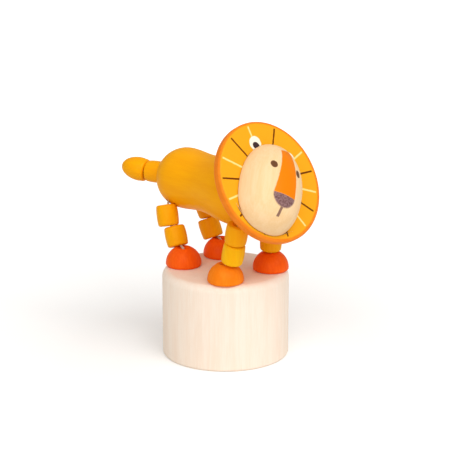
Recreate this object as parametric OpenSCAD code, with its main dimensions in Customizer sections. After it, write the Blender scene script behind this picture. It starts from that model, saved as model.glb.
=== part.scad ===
// Push puppet: a wooden lion on a drum, strung on cords that a sprung button keeps taut.
// Millimetres. +X is the lion's forward, +Y its left, +Z up.
// The origin is the centre of the drum's foot, on the surface that it stands on.

/* [Drum] */
// Outer diameter of the drum
drum_d = 50; // [48:0.5:60]
// Height of the drum
drum_h = 34.4; // [31:0.2:44]
// Rounding of the drum's top edge
drum_top_round = 3; // [0.5:0.1:4]
// Rounding of the drum's foot
drum_foot_round = 1; // [0.2:0.1:1.5]
// Wall of the drum around its bore
drum_wall = 4.5; // [3.5:0.1:5]
// Thickness of the drum's closed top
drum_roof = 7; // [4:0.2:9]

/* [Button and spring] */
// Thickness of the button, without its spring boss
button_h = 7; // [5:0.2:9]
// Running gap between the button and the bore
button_gap = 0.4; // [0.2:0.05:0.8]
// How far the button sits above the drum's foot
button_recess = 1.2; // [0.6:0.1:2]
// Chamfer of the button's edges
button_edge = 0.8; // [0.3:0.1:1.2]
// Depth of the dish for the knots under the button
dish_depth = 3.4; // [2:0.1:4]
// Wall left around the dish
dish_wall = 1.6; // [1:0.1:2.2]
// Radius of the circle of cord holes in the button
button_holes_r = 15; // [14:0.1:16]
// Height of the boss that centres the spring
boss_h = 2; // [1:0.1:3]
// Gap between the boss and the inside of the spring
boss_gap = 0.5; // [0.3:0.1:1]
// Wire diameter of the return spring
spring_wire = 1; // [0.8:0.1:1.4]
// Mean coil diameter of the return spring
spring_d = 22; // [18:0.5:24]
// Turns of the return spring
spring_turns = 6.5; // [4:0.5:8]
// Gap between the spring's ends and their seats
spring_seat_gap = 0.1; // [0.05:0.05:0.3]

/* [Feet] */
// Radius of the half ball that makes a foot
foot_r = 7.1; // [6:0.1:8]
// Height of the ball's centre above the drum's top
foot_lift = 1; // [0:0.1:2]
// Rounding of a foot's lower edge
foot_edge = 1; // [0.5:0.1:1.5]
// Countersink of the hole in the top of a foot
foot_mouth = 1.5; // [1.2:0.1:1.6]
// Distance of the front feet ahead of the drum's centre
front_foot_x = 13.3; // [11:0.1:14]
// Distance of the rear feet behind the drum's centre
rear_foot_x = 13.8; // [11:0.1:14]
// Distance of the front legs from the middle plane
front_leg_y = 11.95; // [11:0.05:12.5]
// Distance of the rear legs from the middle plane
rear_leg_y = 9.9; // [9:0.1:11]

/* [Leg beads] */
// Diameter of a leg bead at its middle
bead_d = 8.3; // [7.4:0.1:9]
// Length of a leg bead
bead_l = 7.9; // [6.5:0.1:9]
// Rounding of a bead's edges
bead_round = 0.9; // [0.5:0.1:1.3]
// How much wider a bead is at its middle than at its ends
bead_bulge = 0.2; // [0.1:0.05:0.4]
// Hole through feet, beads and roof
hole_d = 2.6; // [2.2:0.1:3]
// Countersink of a bead's hole
bead_mouth = 1.4; // [1:0.1:1.5]
// Gap between a foot and the bead on it
ankle_gap = 0.25; // [0.2:0.05:0.8]
// Gap between the two beads of a leg
knee_gap = 0.25; // [0.2:0.05:0.8]
// Gap between the upper beads and the belly
hip_gap = 0.25; // [0.2:0.05:0.8]

/* [Stance] */
// Backward lean of the rear lower beads
rear_lower_lean = 24; // [20:1:32]
// Backward lean of the rear upper beads
rear_upper_lean = 16; // [5:1:24]
// Inward tilt of the rear lower beads
rear_lower_tilt = 4; // [0:1:8]
// Inward tilt of the rear upper beads
rear_upper_tilt = 9; // [0:1:14]
// Forward lean of the front right lower bead
right_lower_lean = 14; // [8:1:20]
// Forward lean of the front right upper bead
right_upper_lean = 11; // [6:1:20]
// Forward lean of the front left lower bead
left_lower_lean = 4; // [2:1:20]
// Forward lean of the front left upper bead
left_upper_lean = 27; // [2:1:30]
// Forward shift of the front right lower bead on its foot
right_ankle_shift = 0.7; // [0:0.1:1]
// Backward shift of the front left lower bead on its foot
left_ankle_shift = 0.7; // [0:0.1:1]
// Backward shift of the rear lower beads on their feet
rear_ankle_shift = 1; // [0:0.1:1.4]
// Backward shift of the rear upper beads at the knees
rear_knee_shift = 0.8; // [0:0.1:2]
// Forward shift of the front left upper bead at its knee
left_knee_shift = 1.8; // [0:0.1:2]
// Outward shift of the rear upper beads at the knees
rear_knee_spread = 2.1; // [0:0.1:2.2]

/* [Body] */
// Radius of the rear dome
dome_r = 12.2; // [11:0.1:13]
// Distance of the rear dome's centre behind the drum's centre
dome_x = 23; // [21:0.5:25]
// Radius at the waist
waist_r = 11.35; // [10:0.05:12]
// Distance of the waist behind the drum's centre
waist_x = 10.5; // [7:0.5:13]
// Radius at the chest
chest_r = 13.4; // [12.6:0.1:14.5]
// Distance of the chest ahead of the drum's centre
chest_x = 8.5; // [7:0.5:13]
// Length of the taper from the chest to where it would close
chest_taper = 19; // [15:0.5:32]
// Bore along the body for the cords
bore_d = 4.5; // [4:0.1:5]

/* [Mane] */
// Diameter of the mane disc
mane_d = 48.2; // [44:0.2:52]
// Thickness of the mane disc
mane_t = 4; // [3.2:0.1:5]
// Rounding of the mane's edges
mane_round = 1.2; // [0.6:0.1:1.5]
// Upward pitch of the mane
mane_pitch = 29; // [22:1:34]
// Turn of the head towards the lion's left shoulder
mane_roll = 32; // [0:1:40]
// Distance of the mane's centre ahead of the drum's centre
mane_x = 24.5; // [23:0.1:27]
// Height of the mane's centre above the body's axis
mane_rise = 7; // [5:0.1:8]
// Gap between the mane and the front of the body
neck_gap = 0.3; // [0.2:0.05:0.6]
// Hole in the mane for the cords
neck_hole_d = 4; // [3.6:0.1:4.4]

/* [Face] */
// Largest radius of the turned egg that the face is cut from
egg_r = 14.3; // [13:0.1:15]
// Length of the egg above its widest place
egg_up = 21; // [19:0.5:23]
// Length of the egg below its widest place
egg_down = 17; // [15:0.5:18]
// Distance of the slice from the egg's axis
egg_slice = 2.2; // [1:0.1:4]
// Distance of the widest place below the mane's centre
egg_low = 5.6; // [4:0.1:6.5]
// Sideways shift of the face towards the lion's right
egg_side = 0.4; // [0:0.1:1]
// Diameter of the pocket for the knot
pocket_d = 5.2; // [4.6:0.1:6]
// Depth of the pocket for the knot
pocket_depth = 6; // [5:0.1:8]

/* [Tail] */
// Swing of the tail towards the lion's right
tail_swing = 22; // [0:1:26]
// Diameter of the tail's root bead
tail_root_d = 8.2; // [7.4:0.1:9]
// Length of the tail's root bead
tail_root_l = 7.8; // [6.5:0.1:9]
// Distance of the root bead from the end of the dome
tail_stand = 1.15; // [1.1:0.05:1.6]
// How far the tail hangs below the body's axis
tail_drop = 0.5; // [0:0.1:0.8]
// Largest diameter of the tail's tip
tail_tip_d = 8.8; // [8:0.1:10]
// Length of the tail's tip
tail_tip_l = 10.6; // [9:0.1:13]
// Distance of the tip's widest place from its inner end
tail_tip_wide_at = 3.7; // [3:0.1:4.5]
// Gap between the root bead and the tip
tail_gap = 0.35; // [0.3:0.05:0.8]
// Hole through the tail for the cord
tail_hole_d = 3.6; // [3.2:0.1:4]
// Depth of the blind hole in the tip
tail_hole_depth = 6; // [5:0.1:7]

/* [Cords] */
// Diameter of the cords
cord_d = 1; // [0.8:0.1:1.1]
// Diameter of the knots
knot_d = 3.2; // [2.8:0.1:3.6]
// Distance of a cord's two strands from the middle where they run side by side
strand_y = 0.75; // [0.7:0.05:0.8]
// How far inside the mouth of a hole a cord starts to bend
cord_lead = 2; // [1.8:0.1:2.2]
// How far below the top of a foot its cord starts to bend
foot_lead = 1.2; // [1:0.1:1.4]

/* [Hidden] */
$fn = 64;
LEGS = ["front_right", "front_left", "rear_right", "rear_left"];
LEG_PIECES = ["foot", "lower_leg", "upper_leg"];

// Wood and paint colours
pale_wood = "#f3e2cd";
amber = "#f3a712";
deep_orange = "#ee7d1b";
red_orange = "#f2601d";
face_wood = "#f6d3a4";
cord_white = "#efe6d6";
spring_steel = "#b9bec4";

// How finely arcs and swept cords are drawn
ARC_STEPS = 5;
BALL_STEPS = 14;
CURVE_STEPS = 8;
CORD_SIDES = 8;
SPRING_SIDES = 6;
SPRING_RINGS = 8;
OVERCUT = 0.1;
// How finely the belly's rest on the beads is worked out
SLOPE_STEP = 0.1;
RIM_POINTS = 24;

// Vectors: the axis of a bead that leans forward and tilts left, and the directions ahead of it and beside it
function bead_axis(lean, tilt) = [cos(tilt) * sin(lean), sin(tilt), cos(tilt) * cos(lean)];
function bead_ahead(lean) = [cos(lean), 0, -sin(lean)];
function bead_side(lean, tilt) = [-sin(tilt) * sin(lean), cos(tilt), -sin(tilt) * cos(lean)];
function unit(v) = v / norm(v);
function arc(centre, r, from, to, steps) =
    [for (i = [0:steps]) let (a = from + (to - from) * i / steps) centre + r * [cos(a), sin(a)]];

// Drum and button
drum_r = drum_d / 2;
drum_bore_r = drum_r - drum_wall;
roof_z = drum_h - drum_roof;
button_r = drum_bore_r - button_gap;
button_top = button_recess + button_h;
dish_r = button_r - dish_wall;
dish_z = button_recess + dish_depth;
boss_r = spring_d / 2 * cos(180 / SPRING_RINGS) - spring_wire / 2 - boss_gap;
bead_r = bead_d / 2;
bead_end_r = bead_r - bead_bulge;
hole_r = hole_d / 2;

// A leg is its foot's X and Y, its beads' forward leans, left tilts and forward shifts, and its knee's left shift
function front_leg(side, lower, upper, ankle_shift, knee_shift) =
    [front_foot_x, side * front_leg_y, lower, upper, 0, 0, ankle_shift, knee_shift, 0];
function rear_leg(side) = [
    -rear_foot_x, side * rear_leg_y, -rear_lower_lean, -rear_upper_lean,
    -side * rear_lower_tilt, -side * rear_upper_tilt, -rear_ankle_shift, -rear_knee_shift,
    side * rear_knee_spread
];
function leg(name) =
    name == "front_right" ? front_leg(-1, right_lower_lean, right_upper_lean, right_ankle_shift, 0)
    : name == "front_left" ? front_leg(1, left_lower_lean, left_upper_lean, -left_ankle_shift, left_knee_shift)
    : rear_leg(name == "rear_right" ? -1 : 1);
function lower_axis(l) = bead_axis(l[2], l[4]);
function upper_axis(l) = bead_axis(l[3], l[5]);
function ankle(l) = [l[0], l[1], drum_h + foot_lift];
// A lower bead sits on the ball of its foot with the edge of its countersink
function seat(l) = sqrt(foot_r ^ 2 - (hole_r + bead_mouth - abs(l[6])) ^ 2);
function lower_bottom(l) = ankle(l) + lower_axis(l) * (seat(l) + ankle_gap) + bead_ahead(l[2]) * l[6];
function lower_top(l) = lower_bottom(l) + lower_axis(l) * bead_l;
// Upper beads stand on the rim of their low side, or on the lower bead's rim where they are shifted past it
function knee_lift(l) =
    let (past = max(0, l[7] * sign(l[3] - l[2])))
    knee_gap + (bead_end_r - bead_round - past) * norm(cross(lower_axis(l), upper_axis(l)));
function upper_bottom(l) =
    lower_top(l) + bead_ahead(l[2]) * l[7] + bead_side(l[2], l[4]) * l[8] + lower_axis(l) * knee_lift(l);
function upper_top(l) = upper_bottom(l) + upper_axis(l) * bead_l;

// Body: the radius of the turned peanut along X, smooth between dome, waist and chest
function ease(t) = t * t * (3 - 2 * t);
function body_r(x) =
    x < -dome_x ? sqrt(max(0, dome_r ^ 2 - (x + dome_x) ^ 2))
    : x < -waist_x ? dome_r + (waist_r - dome_r) * ease((x + dome_x) / (dome_x - waist_x))
    : x < chest_x ? waist_r + (chest_r - waist_r) * ease((x + waist_x) / (chest_x + waist_x))
    : chest_r * sqrt(max(0, 1 - ((x - chest_x) / chest_taper) ^ 2));

// The belly rests on the top rims of the upper beads, so the leg that reaches highest sets the body's axis
function body_slope(x) = (body_r(x + SLOPE_STEP) - body_r(x - SLOPE_STEP)) / (2 * SLOPE_STEP);
function rim(l, a) =
    upper_top(l) - upper_axis(l) * bead_round
    + (bead_end_r - bead_round) * (bead_ahead(l[3]) * cos(a) + bead_side(l[3], l[5]) * sin(a));
function rim_reach(p) =
    let (reach = body_r(p[0]) + (bead_round + hip_gap) * norm([1, body_slope(p[0])]))
    abs(p[1]) < reach ? p[2] + sqrt(reach ^ 2 - p[1] ^ 2) : 0;
function belly_reach(l) = max([for (i = [1:RIM_POINTS]) rim_reach(rim(l, 360 * i / RIM_POINTS))]);
axis_z = max([for (name = LEGS) belly_reach(leg(name))]);

// A leg's cord enters the belly square to the body's axis
function hip_mouth(l) =
    let (top = upper_top(l), out = unit([0, top[1], top[2] - axis_z]))
    [top[0], 0, axis_z] + out * body_r(top[0]);
function hip_centre(l) = [upper_top(l)[0], sign(l[1]) * strand_y, axis_z];

// Head: its frame has X to the lion's left, Y up the face and Z out of the mane
mane_r = mane_d / 2;
mane_centre = [mane_x, 0, axis_z + mane_rise];
mane_back = mane_round - mane_t;
mane_out = [cos(mane_pitch), 0, sin(mane_pitch)];
// The body's bore meets the back of the mane below its centre
neck_drop = (mane_rise + mane_back * sin(mane_pitch)) / cos(mane_pitch);
neck_point = mane_centre + mane_back * mane_out - neck_drop * [-sin(mane_pitch), 0, cos(mane_pitch)];

// Tail: swings in the level plane about the end of the dome
tail_out = [-cos(tail_swing), -sin(tail_swing), 0];
tail_across = [sin(tail_swing), -cos(tail_swing), 0];
tail_start = [-dome_x - dome_r, 0, axis_z - tail_drop] + tail_out * tail_stand;
tail_joint = tail_start + tail_out * (tail_root_l + tail_gap);

module head_frame() {
    translate(mane_centre) rotate([0, 90 - mane_pitch, 0]) rotate([0, 0, 90 - mane_roll]) children();
}

module tail_frame(start) {
    translate(start) rotate([0, 0, tail_swing]) rotate([0, -90, 0]) children();
}

module cord_holes(xys, low, high) {
    for (xy = xys)
        translate([xy[0], xy[1], low]) cylinder(d = hole_d, h = high - low);
}

foot_xys = [for (name = LEGS) let (l = leg(name)) [l[0], l[1]]];
button_xys = [for (xy = foot_xys) unit(xy) * button_holes_r];

// Turned barrel with a countersunk hole, standing on the origin
module bead(d, l, hole) {
    end_r = d / 2 - bead_bulge;
    side = [for (i = [1:CURVE_STEPS - 1]) let (t = i / CURVE_STEPS)
        [end_r + bead_bulge * 4 * t * (1 - t), bead_round + (l - 2 * bead_round) * t]];
    rotate_extrude() polygon(concat(
        [[hole / 2, bead_mouth], [hole / 2 + bead_mouth, 0]],
        arc([end_r - bead_round, bead_round], bead_round, -90, 0, ARC_STEPS),
        side,
        arc([end_r - bead_round, l - bead_round], bead_round, 0, 90, ARC_STEPS),
        [[hole / 2 + bead_mouth, l], [hole / 2, l - bead_mouth]]
    ));
}

module drum() {
    color(pale_wood) difference() {
        rotate_extrude() polygon(concat(
            [[drum_bore_r, 0]],
            arc([drum_r - drum_foot_round, drum_foot_round], drum_foot_round, -90, 0, ARC_STEPS),
            arc([drum_r - drum_top_round, drum_h - drum_top_round], drum_top_round, 0, 90, ARC_STEPS),
            [[0, drum_h], [0, roof_z], [drum_bore_r, roof_z]]
        ));
        cord_holes(foot_xys, roof_z - OVERCUT, drum_h + OVERCUT);
    }
}

module push_button() {
    color(pale_wood) difference() {
        translate([0, 0, button_recess]) rotate_extrude() polygon([
            [0, dish_depth], [dish_r - button_edge, dish_depth], [dish_r, dish_depth - button_edge], [dish_r, 0],
            [button_r - button_edge, 0], [button_r, button_edge],
            [button_r, button_h - button_edge], [button_r - button_edge, button_h],
            [boss_r, button_h], [boss_r, button_h + boss_h - button_edge],
            [boss_r - button_edge, button_h + boss_h], [0, button_h + boss_h]
        ]);
        cord_holes(button_xys, dish_z - OVERCUT, button_top + OVERCUT);
    }
}

// Half ball with a rounded lower edge and a countersunk hole
module foot(l) {
    edge_r = sqrt(foot_r ^ 2 - (foot_edge - foot_lift) ^ 2) - foot_edge;
    ball_from = asin((foot_edge - foot_lift) / foot_r);
    ball_to = acos((hole_r + foot_mouth) / foot_r);
    ball = arc([0, foot_lift], foot_r, ball_from, ball_to, BALL_STEPS);
    top_z = foot_lift + foot_r * sin(ball_to);
    color(red_orange) translate([l[0], l[1], drum_h]) rotate_extrude() polygon(concat(
        [[hole_r, 0]],
        arc([edge_r, foot_edge], foot_edge, -90, 0, ARC_STEPS),
        [for (i = [1:BALL_STEPS]) ball[i]],
        [[hole_r, top_z - foot_mouth]]
    ));
}

module lower_leg(l) {
    color(amber) translate(lower_bottom(l)) rotate([0, l[2], 0]) rotate([-l[4], 0, 0])
        bead(bead_d, bead_l, hole_d);
}

module upper_leg(l) {
    color(amber) translate(upper_bottom(l)) rotate([0, l[3], 0]) rotate([-l[5], 0, 0])
        bead(bead_d, bead_l, hole_d);
}

// Turned peanut, cut off square to the mane and drilled for the cords
module body() {
    front = chest_x + chest_taper;
    dome = [for (i = [0:BALL_STEPS]) let (a = 90 * i / BALL_STEPS) -dome_x - dome_r * cos(a)];
    trunk = [for (i = [1:CURVE_STEPS]) -dome_x + (dome_x - waist_x) * i / CURVE_STEPS];
    chest = [for (i = [1:CURVE_STEPS]) -waist_x + (waist_x + chest_x) * i / CURVE_STEPS];
    taper = [for (i = [1:BALL_STEPS]) chest_x + chest_taper * sin(90 * i / BALL_STEPS)];
    stations = concat(dome, trunk, chest, taper);
    cut = 2 * mane_d;
    color(amber) difference() {
        translate([0, 0, axis_z]) rotate([0, 90, 0])
            rotate_extrude() polygon(concat(
                [for (x = stations) [body_r(x), x]],
                [[0, front], [0, -dome_x - dome_r]]
            ));
        head_frame() translate([-cut / 2, -cut / 2, mane_back - neck_gap]) cube(cut);
        translate([-dome_x - dome_r - OVERCUT, 0, axis_z]) rotate([0, 90, 0])
            cylinder(d = bore_d, h = front + dome_x + dome_r + 2 * OVERCUT);
        for (name = LEGS) hip_hole(leg(name));
    }
}

// Hole from the belly to the body's bore
module hip_hole(l) {
    top = upper_top(l);
    tilt = atan2(top[1], axis_z - top[2]);
    translate([top[0], 0, axis_z]) rotate([tilt, 0, 0])
        translate([0, 0, -body_r(top[0]) - bore_d]) cylinder(d = hole_d, h = body_r(top[0]) + bore_d);
}

module neck_hole(from, depth, d) {
    translate(neck_point) rotate([0, 90 - mane_pitch, 0])
        translate([0, 0, from]) cylinder(d = d, h = depth);
}

module mane() {
    color(deep_orange) difference() {
        head_frame() translate([0, 0, mane_back]) rotate_extrude() polygon(concat(
            [[0, 0]],
            arc([mane_r - mane_round, mane_round], mane_round, -90, 0, ARC_STEPS),
            arc([mane_r - mane_round, mane_t - mane_round], mane_round, 0, 90, ARC_STEPS),
            [[0, mane_t]]
        ));
        neck_hole(-OVERCUT, mane_t + 2 * OVERCUT, neck_hole_d);
    }
}

// Turned egg, sliced lengthwise and glued on the mane
module face() {
    upper = [for (i = [0:BALL_STEPS - 1]) let (a = 90 * i / BALL_STEPS) [egg_r * cos(a), egg_up * sin(a)]];
    lower = [for (i = [BALL_STEPS - 1:-1:1]) let (a = 90 * i / BALL_STEPS) [egg_r * cos(a), -egg_down * sin(a)]];
    block = 4 * egg_r;
    color(face_wood) difference() {
        head_frame() translate([-egg_side, -egg_low, mane_round]) difference() {
            translate([0, 0, -egg_slice]) rotate([-90, 0, 0])
                rotate_extrude() polygon(concat([[0, -egg_down]], lower, upper, [[0, egg_up]]));
            translate([-block / 2, -block / 2, -block]) cube(block);
        }
        neck_hole(mane_t - OVERCUT, pocket_depth + OVERCUT, pocket_d);
    }
}

module tail_root() {
    color(amber) tail_frame(tail_start) bead(tail_root_d, tail_root_l, tail_hole_d);
}

// Egg with a flat, rounded inner end and a blind hole for the cord's knot
module tail_tip() {
    tip_r = tail_tip_d / 2;
    end_r = tail_root_d / 2 - bead_bulge;
    flank = [for (i = [1:CURVE_STEPS]) let (t = i / CURVE_STEPS)
        [end_r + (tip_r - end_r) * ease(t), bead_round + (tail_tip_wide_at - bead_round) * t]];
    nose = [for (i = [1:BALL_STEPS]) let (a = 90 * i / BALL_STEPS)
        [tip_r * cos(a), tail_tip_wide_at + (tail_tip_l - tail_tip_wide_at) * sin(a)]];
    color(amber) tail_frame(tail_joint) rotate_extrude() polygon(concat(
        [[tail_hole_d / 2, bead_mouth], [tail_hole_d / 2 + bead_mouth, 0]],
        arc([end_r - bead_round, bead_round], bead_round, -90, 0, ARC_STEPS),
        flank, nose,
        [[0, tail_hole_depth], [tail_hole_d / 2, tail_hole_depth]]
    ));
}

// Tube swept along points, each with its own radius
function tangents(points) =
    let (last = len(points) - 1)
    [for (i = [0:last]) unit(unit(points[min(i + 1, last)] - points[i == last ? i - 1 : i])
        + unit(points[i == 0 ? 1 : i] - points[max(i - 1, 0)]))];
function carried(along, i, v) =
    i == len(along) ? []
    : let (w = unit(v - along[i] * (v * along[i]))) concat([w], carried(along, i + 1, w));
module tube(points, radii, sides, across) {
    along = tangents(points);
    over = carried(along, 0, across);
    rings = [for (i = [0:len(points) - 1]) for (k = [0:sides - 1]) let (a = 360 * k / sides)
        points[i] + radii[i] * (over[i] * cos(a) + cross(along[i], over[i]) * sin(a))];
    last = (len(points) - 1) * sides;
    walls = [for (i = [0:len(points) - 2]) for (k = [0:sides - 1])
        let (a = i * sides + k, b = i * sides + (k + 1) % sides)
        each [[a, a + sides, b], [b, a + sides, b + sides]]];
    caps = [for (k = [1:sides - 2]) each [[0, k, k + 1], [last, last + k + 1, last + k]]];
    polyhedron(rings, concat(walls, caps));
}

// Return spring, one helix from the button to the roof
function helix(turns, rings, r, low, high) =
    [for (i = [0:turns * rings]) let (a = 360 * i / rings)
        [r * cos(a), r * sin(a), low + (high - low) * i / (turns * rings)]];
spring_low = button_top + spring_seat_gap + spring_wire / 2;
spring_high = roof_z - spring_seat_gap - spring_wire / 2;
spring_path = helix(spring_turns, SPRING_RINGS, spring_d / 2, spring_low, spring_high);
// Least gap of the coil to itself, between points at least half a turn apart
echo(spring_gap = min([for (i = [0:len(spring_path) - 1]) for (j = [i + SPRING_RINGS / 2:1:len(spring_path) - 1])
    norm(spring_path[i] - spring_path[j])]) - spring_wire);

module return_spring() {
    color(spring_steel) tube(spring_path, [for (p = spring_path) spring_wire / 2], SPRING_SIDES, [0, 0, 1]);
}

// Knot under the button: a swelling of the cord, given as height below the dish and radius
knot_r = knot_d / 2;
cord_r = cord_d / 2;
knot_shape = [[0.95, 0.45], [0.8, 0.85], [0.5, 1], [0.2, 0.8], [0.05, 0.4]];

// One strand from its knot under the button to the hip, up the leg
function strand(name, xy) =
    let (
        l = leg(name), low = lower_axis(l) * cord_lead, up = upper_axis(l) * cord_lead,
        foot_top = drum_h + foot_lift + foot_r
    )
    concat(
        [for (k = knot_shape) [xy[0], xy[1], dish_z - k[0] * knot_d]],
        [
            [xy[0], xy[1], dish_z],
            [xy[0], xy[1], button_top],
            [l[0], l[1], roof_z],
            [l[0], l[1], foot_top - foot_lead],
            lower_bottom(l) + low,
            lower_top(l) - low,
            upper_bottom(l) + up,
            upper_top(l) - up,
            hip_mouth(l),
            hip_centre(l)
        ]
    );
function backwards(list) = [for (i = [len(list) - 1:-1:0]) list[i]];

// A cord is one length: up one leg, round its loop and down the other leg, with a knot at each end
module cord(right, loop, left) {
    points = concat(right, loop, backwards(left));
    last = len(points) - 1;
    knots = len(knot_shape);
    radii = [for (i = [0:last]) let (k = min(i, last - i)) k < knots ? knot_shape[k][1] * knot_r : cord_r];
    color(cord_white) tube(points, radii, CORD_SIDES, [1, 0, 0]);
}

module front_cord() {
    right = strand("front_right", button_xys[0]);
    left = strand("front_left", button_xys[1]);
    bend = neck_point + mane_out * (mane_t + pocket_depth / 2);
    side = [0, strand_y, 0];
    loop = concat(
        [neck_point - [neck_gap, 0, 0] - side, neck_point + mane_out * mane_t - side, bend - side],
        [bend + mane_out * cord_d],
        [bend + side, neck_point + mane_out * mane_t + side, neck_point - [neck_gap, 0, 0] + side]
    );
    cord(right, loop, left);
}

module rear_cord() {
    right = strand("rear_right", button_xys[2]);
    left = strand("rear_left", button_xys[3]);
    bend = tail_joint + tail_out * (tail_hole_depth - 2 * cord_d);
    root_end = tail_start + tail_out * bead_mouth;
    dome_end = [-dome_x - dome_r + bead_mouth, 0, axis_z];
    side = [0, strand_y, 0];
    across = tail_across * strand_y;
    loop = [
        dome_end - side, root_end + across, bend + across,
        bend + tail_out * cord_d,
        bend - across, root_end - across, dome_end + side
    ];
    cord(right, loop, left);
}

drum();
push_button();
return_spring();
body();
mane();
face();
tail_root();
tail_tip();
for (name = LEGS) {
    foot(leg(name));
    lower_leg(leg(name));
    upper_leg(leg(name));
}
front_cord();
rear_cord();
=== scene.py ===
"""Wooden push puppet: a bead-legged lion on a hollow drum, dressed in turned, stained and printed wood."""
import math

import bmesh
import bpy
from mathutils import Matrix, Vector


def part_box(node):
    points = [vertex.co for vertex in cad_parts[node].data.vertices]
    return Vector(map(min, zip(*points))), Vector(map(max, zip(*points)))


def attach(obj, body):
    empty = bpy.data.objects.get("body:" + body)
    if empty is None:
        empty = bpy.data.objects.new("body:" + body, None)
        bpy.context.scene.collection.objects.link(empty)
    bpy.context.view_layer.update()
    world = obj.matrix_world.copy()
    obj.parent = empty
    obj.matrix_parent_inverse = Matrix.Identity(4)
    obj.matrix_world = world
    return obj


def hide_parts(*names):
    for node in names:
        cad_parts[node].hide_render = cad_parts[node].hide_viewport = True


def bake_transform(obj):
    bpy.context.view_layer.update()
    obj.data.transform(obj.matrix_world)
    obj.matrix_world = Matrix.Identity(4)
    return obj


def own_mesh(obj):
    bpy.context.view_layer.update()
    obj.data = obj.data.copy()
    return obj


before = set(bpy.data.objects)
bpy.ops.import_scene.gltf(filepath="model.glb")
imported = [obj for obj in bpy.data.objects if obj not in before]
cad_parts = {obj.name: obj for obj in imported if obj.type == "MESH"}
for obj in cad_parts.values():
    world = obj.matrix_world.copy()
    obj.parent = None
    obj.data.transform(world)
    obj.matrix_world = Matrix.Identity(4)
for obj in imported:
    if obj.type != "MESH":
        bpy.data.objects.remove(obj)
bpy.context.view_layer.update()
scene = bpy.context.scene

MM = 0.001
LEGS = ("front_right", "front_left", "rear_right", "rear_left")


def centre(node):
    """Middle of a CAD node's box."""
    low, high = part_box(node)
    return (Vector(low) + Vector(high)) / 2


def srgb(code):
    """The linear colour of a hex sRGB code."""
    channels = [int(code[i:i + 2], 16) / 255 for i in (1, 3, 5)]
    return (*[c / 12.92 if c <= 0.04045 else ((c + 0.055) / 1.055) ** 2.4 for c in channels], 1)


# Camera: 48 degrees round from the lion's right side towards its face, 16 degrees above the table
CAMERA_TURN = math.radians(48)
CAMERA_RISE = math.radians(16)
CAMERA_DISTANCE = 700 * MM
LOOK_AT = Vector((0, 0, 52.04 * MM))
camera_back = Vector((
    math.sin(CAMERA_TURN) * math.cos(CAMERA_RISE),
    -math.cos(CAMERA_TURN) * math.cos(CAMERA_RISE),
    math.sin(CAMERA_RISE),
))
lens = bpy.data.cameras.new("camera")
lens.sensor_width = 36
lens.lens = 142.88
lens.shift_x = -0.0012
camera = bpy.data.objects.new("camera", lens)
camera.location = LOOK_AT + camera_back * CAMERA_DISTANCE
camera.rotation_euler = camera_back.to_track_quat("Z", "Y").to_euler()
scene.collection.objects.link(camera)
scene.camera = camera


# Places and sizes, in metres: places come from the frame, sizes are those of the turned pieces

# Forward lean and tilt to the lion's left of each leg's lower and upper bead, in degrees
STANCE = {
    "front_right": ((14, 0), (11, 0)),
    "front_left": ((4, 0), (27, 0)),
    "rear_right": ((-24, 4), (-18, 6)),
    "rear_left": ((-24, -4), (-16, -9)),
}
BEAD_D, BEAD_L, BEAD_ROUND, BEAD_BULGE, BEAD_MOUTH = 8.7 * MM, 8.1 * MM, 0.9 * MM, 0.2 * MM, 0.9 * MM
# Play of a bead's end in its seat in the belly, and of the tail's tip on its root
SEAT_PLAY, TIP_PLAY = 0.1 * MM, 0.15 * MM
# The taut cord holds the front right beads up against the belly
FRONT_RIGHT_SHIFT = Vector((0.5, 0.5, 0.7)) * MM
# The rear right upper bead is a little longer than the others
LONG_BEAD, LONG_BEAD_EXTRA = "rear_right_upper_leg", 0.4 * MM
HOLE_D, TAIL_HOLE_D, BORE_D = 2.6 * MM, 3.6 * MM, 4.5 * MM
FOOT_R, FOOT_LIFT, FOOT_EDGE, FOOT_MOUTH = 7.1 * MM, 1 * MM, 1 * MM, 1.5 * MM
ROOF_T = 7 * MM
DOME_X, DOME_R, WAIST_X, WAIST_R = 23 * MM, 12.2 * MM, 10.5 * MM, 11.35 * MM
CHEST_X, CHEST_R, CHEST_TAPER = 8.5 * MM, 13.4 * MM, 19 * MM
MANE_R, MANE_T, MANE_ROUND = 24.1 * MM, 4 * MM, 1.2 * MM
EGG_R, EGG_UP, EGG_DOWN, EGG_SLICE = 14.1 * MM, 20.5 * MM, 17.2 * MM, 2.2 * MM
EGG_SIDE, EGG_LOW, EGG_ROLL, JAW_FULLNESS = 0.55 * MM, 5.2 * MM, math.radians(-3.2), 2.4
TAIL_ROOT_D, TAIL_ROOT_L, TAIL_GAP, TAIL_MOUTH = 8.9 * MM, 7.8 * MM, 0.35 * MM, 1.1 * MM
TAIL_TIP_D, TAIL_TIP_L, TAIL_TIP_WIDE_AT, TAIL_HOLE_DEPTH = 9.6 * MM, 11.1 * MM, 3 * MM, 6 * MM
BUTTON_RECESS, BUTTON_HOLES_R = 1.2 * MM, 15 * MM
STRAND_Y, CORD_LEAD, FOOT_LEAD = 0.75 * MM, 2 * MM, 1.2 * MM

drum_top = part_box("drum")[1][2]
drum_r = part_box("drum")[1][0]
roof_z = drum_top - ROOF_T
# The cords pull the body and tail down on the legs
SETTLE = Vector((0, 0, -0.3)) * MM
axis_z = (centre("body") + SETTLE).z
NECK_GAP = 0.3 * MM

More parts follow.
